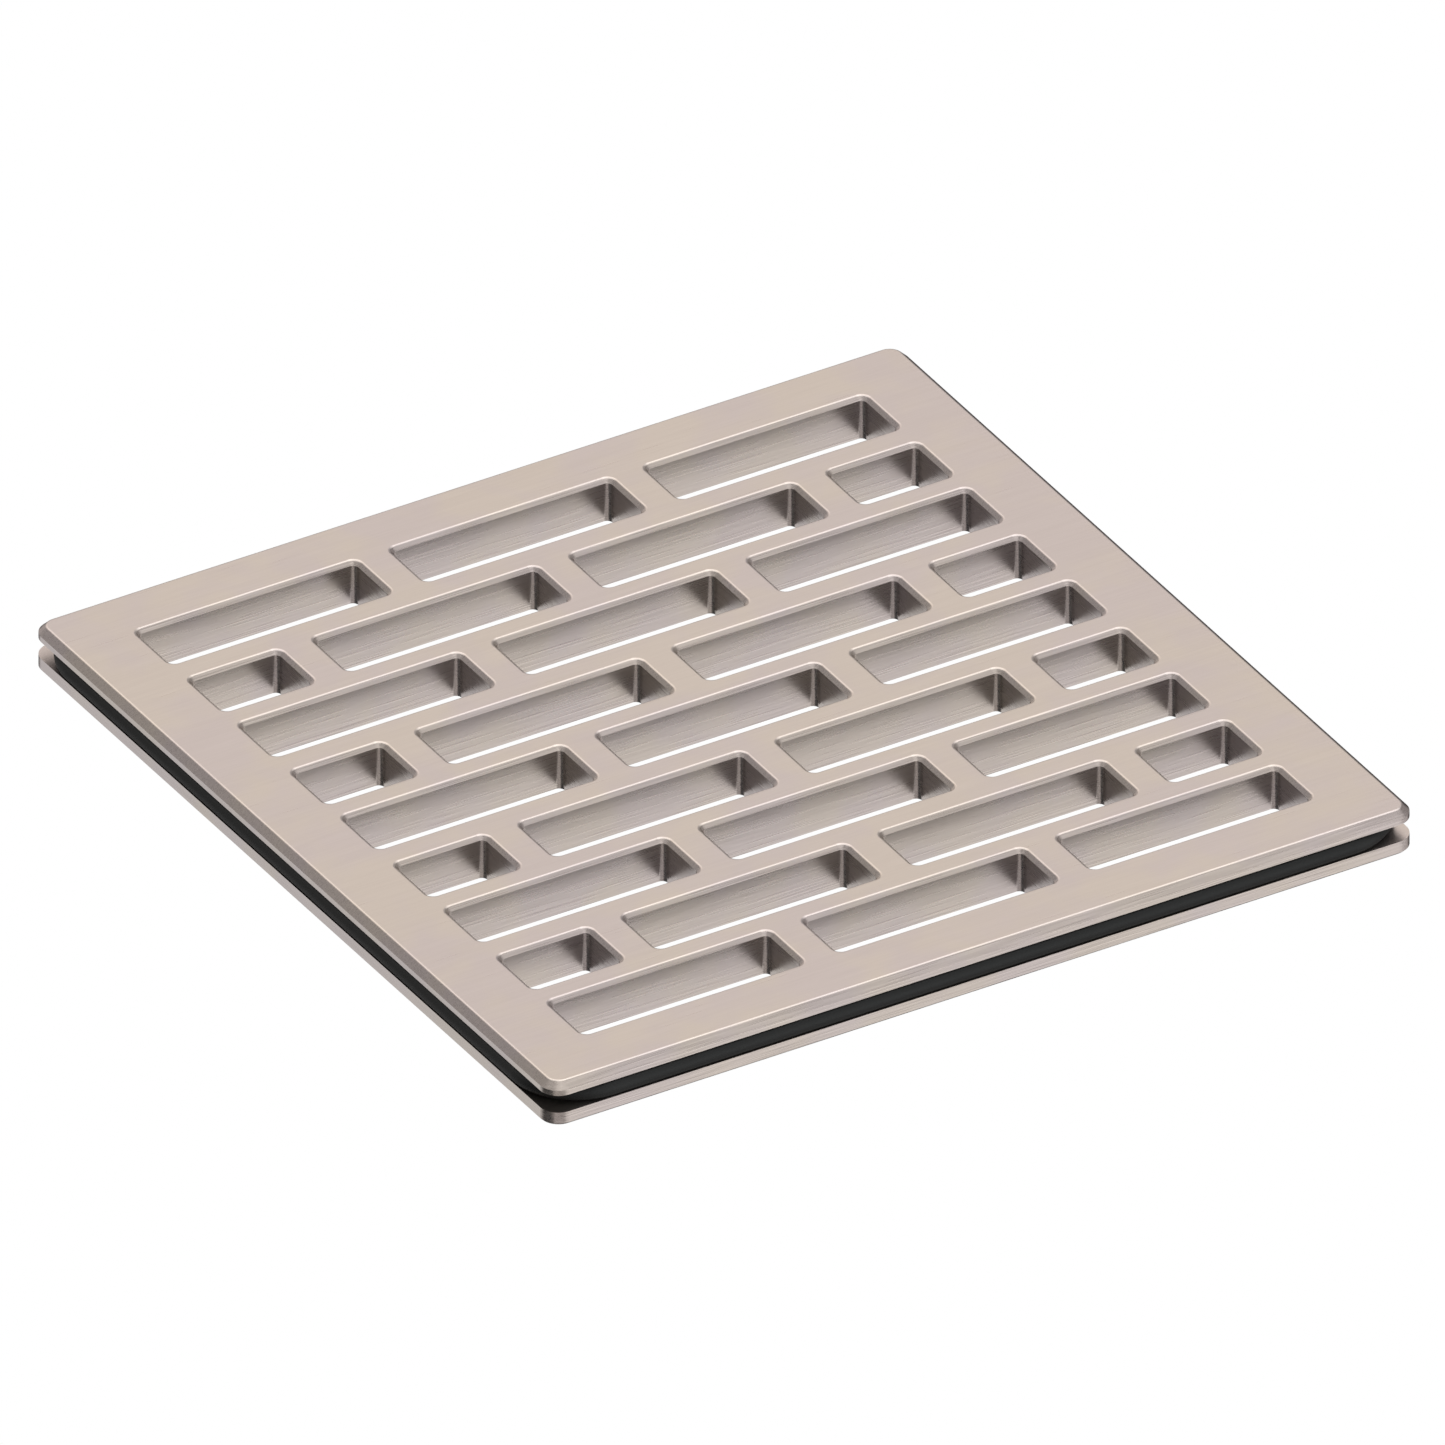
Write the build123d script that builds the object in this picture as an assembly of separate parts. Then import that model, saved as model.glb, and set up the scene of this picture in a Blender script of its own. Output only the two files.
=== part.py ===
from build123d import *
import os

os.makedirs("parts", exist_ok=True)

# Square floor drain grate. Millimetres, +Z up. The origin is the centre of the underside;
# the long slots run along X. The top face at z = THICK is the one that is walked on.

# ---- plate ----
SIDE = 95.25             # outside of the square plate
THICK = 4.62             # underside to top face
CORNER_R = 2.0           # plan radius of the four corners
TOP_CHAMFER = 0.73       # 45 degree chamfer round the top face
BOTTOM_CHAMFER = 0.23    # small edge break round the underside
TOP_EDGE_R = 0.3         # radius between the top face and the chamfers round it and in it

# ---- groove round the side of the plate ----
UPPER_LIP = 1.3          # top face to the upper wall of the groove
GROOVE_W = 1.88          # height of the groove
GROOVE_DEPTH = 1.45      # from the side of the plate to the groove floor
GROOVE_CORNER_R = 5.3    # plan radius of the groove floor

# ---- O-ring lying in the groove ----
RING_D = 1.78            # section diameter

# ---- slots, in nine rows that overlap like brickwork ----
SLOT_W = 6.35            # width of every slot
SLOT_CHAMFER = 0.42      # 45 degree chamfer round the slot at the top face
SLOT_R = 0.6             # plan radius of the slot corners
ROW_PITCH = 18.865       # from one odd row to the next odd row
EVEN_SHIFT = -0.22       # even rows lie this much off the midpoint between odd rows
WEB = 4.0                # metal between neighbouring slots of a row
PATTERN_L = 79.84        # overall length of a row
SHORT_L = 9.66           # length of the short slots that end the even rows

# ---- worked out from the above ----
ODD_L = (PATTERN_L - 2 * WEB) / 3
EVEN_L = (PATTERN_L - 3 * WEB - 2 * SHORT_L) / 2
FLOOR_SIDE = SIDE - 2 * GROOVE_DEPTH
GROOVE_Z = THICK - UPPER_LIP - GROOVE_W / 2

OVERCUT = 1.0            # how far a cutting solid runs past the faces that it cuts
MOUTH_OVERCUT = 0.2      # the same for the chamfered mouth of a slot


# ---- slots ----
def row_of_slots(y, lengths):
    """Centre and length of each slot of one row, from -X to +X."""
    row = []
    x = -PATTERN_L / 2
    for length in lengths:
        row.append((x + length / 2, y, length))
        x += length + WEB
    return row


def slot_cutter(length):
    """One slot with its chamfered mouth, ready to be cut from the plate."""
    shaft = extrude(RectangleRounded(length, SLOT_W, SLOT_R), THICK + 2 * OVERCUT)
    grow = SLOT_CHAMFER + MOUTH_OVERCUT
    bottom = Pos(0, 0, THICK - SLOT_CHAMFER) * RectangleRounded(length, SLOT_W, SLOT_R)
    top = RectangleRounded(length + 2 * grow, SLOT_W + 2 * grow, SLOT_R + grow)
    mouth = loft([bottom, Pos(0, 0, THICK + MOUTH_OVERCUT) * top])
    return Pos(0, 0, -OVERCUT) * shaft + mouth


slots = []
for k in range(-2, 3):
    slots += row_of_slots(k * ROW_PITCH, [ODD_L, ODD_L, ODD_L])
for k in range(-2, 2):
    y = (k + 0.5) * ROW_PITCH + EVEN_SHIFT
    slots += row_of_slots(y, [SHORT_L, EVEN_L, EVEN_L, SHORT_L])
cutters = {length: slot_cutter(length) for length in (ODD_L, EVEN_L, SHORT_L)}

# ---- grate plate ----
plate = extrude(RectangleRounded(SIDE, SIDE, CORNER_R), THICK)
plate = chamfer(plate.faces().sort_by(Axis.Z)[-1].edges(), TOP_CHAMFER)
plate = chamfer(plate.faces().sort_by(Axis.Z)[0].edges(), BOTTOM_CHAMFER)

outside = RectangleRounded(SIDE + 2 * OVERCUT, SIDE + 2 * OVERCUT, CORNER_R)
groove_floor = RectangleRounded(FLOOR_SIDE, FLOOR_SIDE, GROOVE_CORNER_R)
plate -= Pos(0, 0, GROOVE_Z - GROOVE_W / 2) * extrude(outside - groove_floor, GROOVE_W)
plate -= [Pos(x, y, 0) * cutters[length] for x, y, length in slots]
plate = fillet(plate.faces().sort_by(Axis.Z)[-1].edges(), TOP_EDGE_R)

# ---- O-ring ----
ring_side = FLOOR_SIDE + RING_D
ring_corner_r = GROOVE_CORNER_R + RING_D / 2
ring_path = Pos(0, 0, GROOVE_Z) * RectangleRounded(ring_side, ring_side, ring_corner_r).wire()
section = Plane(origin=ring_path @ 0, z_dir=ring_path % 0) * Circle(RING_D / 2)
ring = sweep(section, path=ring_path)

export_step(plate, "parts/grate_plate.step")
export_step(ring, "parts/o_ring.step")
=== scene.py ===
import math

import bpy
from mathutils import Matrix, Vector


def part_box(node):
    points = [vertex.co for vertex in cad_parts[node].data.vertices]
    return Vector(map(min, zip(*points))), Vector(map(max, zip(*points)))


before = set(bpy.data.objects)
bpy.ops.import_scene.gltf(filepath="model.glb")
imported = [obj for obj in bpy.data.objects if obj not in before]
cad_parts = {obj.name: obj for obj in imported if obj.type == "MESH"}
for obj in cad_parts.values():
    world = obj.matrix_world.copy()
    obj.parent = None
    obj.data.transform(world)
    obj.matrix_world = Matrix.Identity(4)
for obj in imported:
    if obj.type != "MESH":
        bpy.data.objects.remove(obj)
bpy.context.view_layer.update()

MM = 0.001

# ---- camera: parallel view, as from far away with a long lens ----
AZIMUTH = math.radians(-31.0)
ELEVATION = math.radians(32.66)
PICTURE_WIDTH = 136.17 * MM      # what the picture's width covers at the object
AIM_RIGHT = -0.141 * MM          # from the centre of the top face to the picture's centre
AIM_UP = -0.763 * MM
CAMERA_DISTANCE = 1.2
CLIP_NEAR = 0.01
CLIP_FAR = 10

# ---- brushed nickel ----
NICKEL_PINK = (0.613, 0.573, 0.574)
NICKEL_BEIGE = (0.634, 0.594, 0.558)
CLOUD = 9.0 * MM                 # size of the faint pink and beige patches
CLOUD_DETAIL = 2
CLOUD_SPREAD = (0.40, 0.60)      # below it a patch is all pink, above it all beige
ANISOTROPY = 0.6
ROUGHNESS = (0.25, 0.34)         # from the deepest to the highest of the brush marks
BRUSH_WAY = (1, 0.05, 0)         # just off the X axis, because the end walls face along it
BRUSH_LONG = 8.0 * MM            # length and width of the brush marks
BRUSH_FINE = 0.26 * MM
HAIR_LONG = 5.0 * MM             # the same of the finest ones
HAIR_FINE = 0.11 * MM
HAIR_SHARE = 0.50                # share of the finest ones in the sum of both
TOP_SHARE = 0.35                 # strength of the marks on the smoother top face, 1 on the walls
BRUSH_DEPTH = 0.015 * MM         # relief of the marks
STREAK_TONE = 0.055              # how much lighter and darker the marks are
WALL_PAINTED_SHADE = 0.87                 # painted shade: tone of the upright walls, 1 on the top face
CORNER_PAINTED_HIGHLIGHT = 1.70              # painted highlight: how many times lighter the upright corners are painted than the walls, in place of their reflection

# where the marks turn and the painted wall shade and painted corner highlight set in, by the parts of
# the surface's normal
END_WALL_X = (0.75, 0.85)        # size of X: from the long walls to the end walls
WALL_END_Z = (0.30, 0.60)        # size of Z: from the walls to the chamfers, where the painted wall shade fades out
TOP_START_Z = (0.60, 0.95)       # size of Z: from the chamfers to the top face
CORNER_XY = (0.20, 0.40)         # size of X times Y: from the walls to the upright corners, where the painted highlight sets in

# ---- rubber ----
RUBBER_DARK = (0.005, 0.005, 0.005)
RUBBER_LIGHT = (0.010, 0.010, 0.010)
RUBBER_SHEEN = (0.85, 0.95, 1.0)  # tint of its reflections
RUBBER_ROUGHNESS = (0.55, 0.68)
GRAIN = 0.08 * MM
GRAIN_DETAIL = 4
GRAIN_DEPTH = 0.004 * MM
GRAIN_STRENGTH = 0.5

# ---- noise ----
NOISE_ROUGHNESS = 0.6
NOISE_SPREAD = (0.3, 0.7)        # nearly all of a noise lies in it
NOISE_MIDDLE = 0.5

# ---- studio: an even surround, with soft panels added and dark flags taken away ----
SURROUND = (0.485, 0.450, 0.430)
DARKEST = (0.03, 0.03, 0.03)     # the least light from any direction
PALE = (1.05, 1.00, 0.96)        # tints of the light, each with a green of 1
COOL = (1.00, 1.00, 1.00)
WARM = (1.18, 1.00, 0.84)
# direction, degrees from it to the end of the full light and to the outer edge, brightness, tint
PANELS = (
    ((0.00, 0.09, 1.00), 15, 50, 0.90, PALE),        # overhead
    ((0.50, 0.04, 0.87), 8, 32, 0.60, PALE),         # second one overhead, to the right
    ((0.50, -0.86, -0.12), 11, 37, 1.20, PALE),      # front, low
    ((0.07, 0.79, 0.62), 8, 35, 0.52, WARM),         # wall behind
    ((-0.43, 0.72, -0.54), 8, 26, 0.46, COOL),       # bounce card at the back left, low
    ((0.43, 0.72, -0.54), 24, 46, -0.50, PALE),      # flag behind and below
    ((-0.86, 0.08, -0.50), 22, 44, -0.50, PALE),     # flag at the left, low
    ((-0.33, -0.62, -0.71), 12, 30, -0.25, PALE),    # flag at the front left, below
    ((1.00, 0.00, 0.00), 10, 45, -0.20, PALE),       # flag at the right
    ((-0.54, 0.72, 0.43), 10, 40, -0.12, PALE),      # flag at the back left, high
    ((-0.52, -0.23, 0.82), 8, 25, -0.50, PALE),      # flag at the front left, high
    ((0.33, -0.55, -0.77), 10, 30, -0.20, PALE),     # flag under the front
)
FLOOR_HALF = 2.0                 # half the side of the floor
FLOOR_GAP = 0.6 * MM             # from the floor up to the underside


# ---- camera ----
def camera_axes():
    """Unit vectors to the right, up, and back from the object to the camera."""
    back = Vector((
        math.sin(AZIMUTH) * math.cos(ELEVATION),
        -math.cos(AZIMUTH) * math.cos(ELEVATION),
        math.sin(ELEVATION),
    ))
    right = Vector((math.cos(AZIMUTH), math.sin(AZIMUTH), 0))
    return right, back.cross(right), back


def make_camera():
    right, up, back = camera_axes()
    top_centre = Vector((0, 0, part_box("grate_plate")[1].z))
    aim = top_centre + right * AIM_RIGHT + up * AIM_UP
    data = bpy.data.cameras.new("camera")
    data.type = "ORTHO"
    data.ortho_scale = PICTURE_WIDTH
    data.clip_start = CLIP_NEAR
    data.clip_end = CLIP_FAR
    camera = bpy.data.objects.new("camera", data)
    bpy.context.scene.collection.objects.link(camera)
    camera.location = aim + back * CAMERA_DISTANCE
    camera.rotation_mode = "QUATERNION"
    camera.rotation_quaternion = back.to_track_quat("Z", "Y")
    bpy.context.scene.camera = camera


# ---- shader nodes ----
def add(tree, kind, **settings):
    """A shader node with its settings."""
    node = tree.nodes.new(kind)
    for name, value in settings.items():
        setattr(node, name, value)
    return node


def link(tree, source, target):
    tree.links.new(source, target)


def new_material(name):
    material = bpy.data.materials.new(name)
    material.use_nodes = True
    tree = material.node_tree
    tree.nodes.clear()
    output = add(tree, "ShaderNodeOutputMaterial")
    return material, tree, output


def new_surface(name):
    """A material with its shader, and the position on the object in metres."""
    material, tree, output = new_material(name)
    shader = add(tree, "ShaderNodeBsdfPrincipled")
    link(tree, shader.outputs[0], output.inputs["Surface"])
    position = add(tree, "ShaderNodeTexCoord").outputs["Object"]
    return material, tree, shader, position


def noise_of(tree, position, sizes, detail):
    """Noise in [0, 1], as large as sizes along X, Y and Z."""
    stretch = add(tree, "ShaderNodeVectorMath", operation="MULTIPLY")
    stretch.inputs[1].default_value = [1 / size for size in sizes]
    link(tree, position, stretch.inputs[0])
    noise = add(tree, "ShaderNodeTexNoise")
    noise.inputs["Scale"].default_value = 1
    noise.inputs["Detail"].default_value = detail
    noise.inputs["Roughness"].default_value = NOISE_ROUGHNESS
    link(tree, stretch.outputs[0], noise.inputs["Vector"])
    return noise.outputs["Fac"]


def blend_of(tree, factor, first, second):
    """Mixes two values; each of the three is a number or a socket."""
    mix = add(tree, "ShaderNodeMix", data_type="FLOAT")
    for name, value in (("Factor", factor), ("A", first), ("B", second)):
        if isinstance(value, (int, float)):
            mix.inputs[name].default_value = value
        else:
            link(tree, value, mix.inputs[name])
    return mix.outputs["Result"]


def colour_blend_of(tree, factor, first, second):
    """Mixes two plain colours by a socket."""
    mix = add(tree, "ShaderNodeMix", data_type="RGBA")
    mix.inputs["A"].default_value = (*first, 1)
    mix.inputs["B"].default_value = (*second, 1)
    link(tree, factor, mix.inputs["Factor"])
    return mix.outputs["Result"]


def ramp(tree, source, span, result, **settings):
    """Maps the two ends of span to the two of result, which hold outside it."""
    node = add(tree, "ShaderNodeMapRange", **settings)
    for name, value in zip(("From Min", "From Max", "To Min", "To Max"), (*span, *result)):
        node.inputs[name].default_value = value
    link(tree, source, node.inputs["Value"])
    return node.outputs["Result"]


def product_of(tree, first, second):
    node = add(tree, "ShaderNodeMath", operation="MULTIPLY")
    link(tree, first, node.inputs[0])
    link(tree, second, node.inputs[1])
    return node.outputs[0]


def size_of(tree, value):
    """The value without its sign."""
    node = add(tree, "ShaderNodeMath", operation="ABSOLUTE")
    link(tree, value, node.inputs[0])
    return node.outputs[0]


def emboss(tree, shader, height, strength, depth):
    """Raises the surface in the shading only, by height times depth."""
    bump = add(tree, "ShaderNodeBump")
    bump.inputs["Strength"].default_value = strength
    bump.inputs["Distance"].default_value = depth
    link(tree, height, bump.inputs["Height"])
    link(tree, bump.outputs[0], shader.inputs["Normal"])


# ---- materials ----
def satin_nickel():
    """Nickel brushed along the slots; its reflections spread across the brush marks."""
    material, tree, shader, position = new_surface("satin_nickel")
    shader.inputs["Metallic"].default_value = 1
    shader.inputs["Anisotropic"].default_value = ANISOTROPY

    normal = add(tree, "ShaderNodeNewGeometry").outputs["Normal"]
    across = add(tree, "ShaderNodeVectorMath", operation="CROSS_PRODUCT")
    across.inputs[1].default_value = BRUSH_WAY
    link(tree, normal, across.inputs[0])
    link(tree, across.outputs[0], shader.inputs["Tangent"])

    facing = add(tree, "ShaderNodeSeparateXYZ")
    link(tree, normal, facing.inputs[0])
    facing_x, facing_y, facing_z = facing.outputs
    level = size_of(tree, facing_z)

    # the brush marks run along X, and on the short end walls along Y
    end_wall = ramp(tree, size_of(tree, facing_x), END_WALL_X, (0, 1))
    marks = []
    for long, wide in ((BRUSH_LONG, BRUSH_FINE), (HAIR_LONG, HAIR_FINE)):
        along_x = noise_of(tree, position, (long, wide, wide), 0)
        along_y = noise_of(tree, position, (wide, long, wide), 0)
        marks.append(blend_of(tree, end_wall, along_x, along_y))
    fine = blend_of(tree, HAIR_SHARE, *marks)
    strength = ramp(tree, level, TOP_START_Z, (1, TOP_SHARE))
    fine = blend_of(tree, strength, NOISE_MIDDLE, fine)

    # the colour: pink and beige patches, times the tone of the marks, the painted highlight on the
    # corners and the painted shade on the walls
    cloud = noise_of(tree, position, (CLOUD, CLOUD, CLOUD), CLOUD_DETAIL)
    patches = colour_blend_of(tree, ramp(tree, cloud, CLOUD_SPREAD, (0, 1)), NICKEL_PINK, NICKEL_BEIGE)
    mark_tone = ramp(tree, fine, NOISE_SPREAD, (1 - STREAK_TONE, 1 + STREAK_TONE))
    turned = size_of(tree, product_of(tree, facing_x, facing_y))
    # painted highlight: the upright corners are painted lighter, in place of the light they reflect
    corner_painted_highlight = ramp(tree, turned, CORNER_XY, (1, CORNER_PAINTED_HIGHLIGHT))
    # painted shade: the upright walls are painted darker than the top face
    wall_painted_shade = ramp(tree, level, WALL_END_Z, (WALL_PAINTED_SHADE, 1))
    tone = product_of(tree, mark_tone, product_of(tree, corner_painted_highlight, wall_painted_shade))
    shade = add(tree, "ShaderNodeMix", data_type="RGBA", blend_type="MULTIPLY")
    shade.inputs["Factor"].default_value = 1
    link(tree, patches, shade.inputs["A"])
    link(tree, tone, shade.inputs["B"])
    link(tree, shade.outputs["Result"], shader.inputs["Base Color"])

    link(tree, ramp(tree, fine, NOISE_SPREAD, ROUGHNESS), shader.inputs["Roughness"])
    emboss(tree, shader, fine, 1, BRUSH_DEPTH)
    return material


def rubber():
    """Black nitrile rubber with a fine moulded grain."""
    material, tree, shader, position = new_surface("rubber")
    shader.inputs["Specular Tint"].default_value = (*RUBBER_SHEEN, 1)
    grain = noise_of(tree, position, (GRAIN, GRAIN, GRAIN), GRAIN_DETAIL)
    tone = colour_blend_of(tree, ramp(tree, grain, NOISE_SPREAD, (0, 1)), RUBBER_DARK, RUBBER_LIGHT)
    link(tree, tone, shader.inputs["Base Color"])
    link(tree, ramp(tree, grain, NOISE_SPREAD, RUBBER_ROUGHNESS), shader.inputs["Roughness"])
    emboss(tree, shader, grain, GRAIN_STRENGTH, GRAIN_DEPTH)
    return material


def paint(node, material):
    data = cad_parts[node].data
    data.materials.clear()
    data.materials.append(material)


# ---- studio ----
def make_floor():
    """A plain white floor just under the plate, seen by the camera only."""
    mesh = bpy.data.meshes.new("floor")
    half = FLOOR_HALF
    corners = [(-half, -half, 0), (half, -half, 0), (half, half, 0), (-half, half, 0)]
    mesh.from_pydata(corners, [], [(0, 1, 2, 3)])
    floor = bpy.data.objects.new("floor", mesh)
    floor.location.z = -FLOOR_GAP
    bpy.context.scene.collection.objects.link(floor)
    material, tree, output = new_material("floor")
    glow = add(tree, "ShaderNodeEmission")
    link(tree, glow.outputs[0], output.inputs["Surface"])
    mesh.materials.append(material)
    floor.visible_glossy = False
    floor.visible_diffuse = False
    floor.visible_shadow = False
    floor.visible_transmission = False


def make_world():
    """Soft studio light from all round; the camera itself sees plain white."""
    world = bpy.data.worlds.new("world")
    bpy.context.scene.world = world
    world.use_nodes = True
    tree = world.node_tree
    way = add(tree, "ShaderNodeTexCoord").outputs["Generated"]
    total = None
    for direction, inner, outer, brightness, tint in PANELS:
        nearness = add(tree, "ShaderNodeVectorMath", operation="DOT_PRODUCT")
        nearness.inputs[1].default_value = Vector(direction).normalized()
        link(tree, way, nearness.inputs[0])
        edge = (math.cos(math.radians(outer)), math.cos(math.radians(inner)))
        light = (0, brightness)
        panel = ramp(tree, nearness.outputs["Value"], edge, light, interpolation_type="SMOOTHSTEP")
        sum_so_far = add(tree, "ShaderNodeVectorMath", operation="MULTIPLY_ADD")
        link(tree, panel, sum_so_far.inputs[0])
        sum_so_far.inputs[1].default_value = tint
        if total is None:
            sum_so_far.inputs[2].default_value = SURROUND
        else:
            link(tree, total, sum_so_far.inputs[2])
        total = sum_so_far.outputs[0]
    never_black = add(tree, "ShaderNodeVectorMath", operation="MAXIMUM")
    never_black.inputs[1].default_value = DARKEST
    link(tree, total, never_black.inputs[0])
    studio = tree.nodes["Background"]
    link(tree, never_black.outputs[0], studio.inputs["Color"])
    backdrop = add(tree, "ShaderNodeBackground")
    backdrop.inputs["Color"].default_value = (1, 1, 1, 1)
    seen = add(tree, "ShaderNodeLightPath").outputs["Is Camera Ray"]
    either = add(tree, "ShaderNodeMixShader")
    link(tree, seen, either.inputs[0])
    link(tree, studio.outputs[0], either.inputs[1])
    link(tree, backdrop.outputs[0], either.inputs[2])
    link(tree, either.outputs[0], tree.nodes["World Output"].inputs["Surface"])


paint("grate_plate", satin_nickel())
paint("o_ring", rubber())
make_floor()
make_world()
make_camera()
bpy.context.scene.view_settings.view_transform = "Standard"
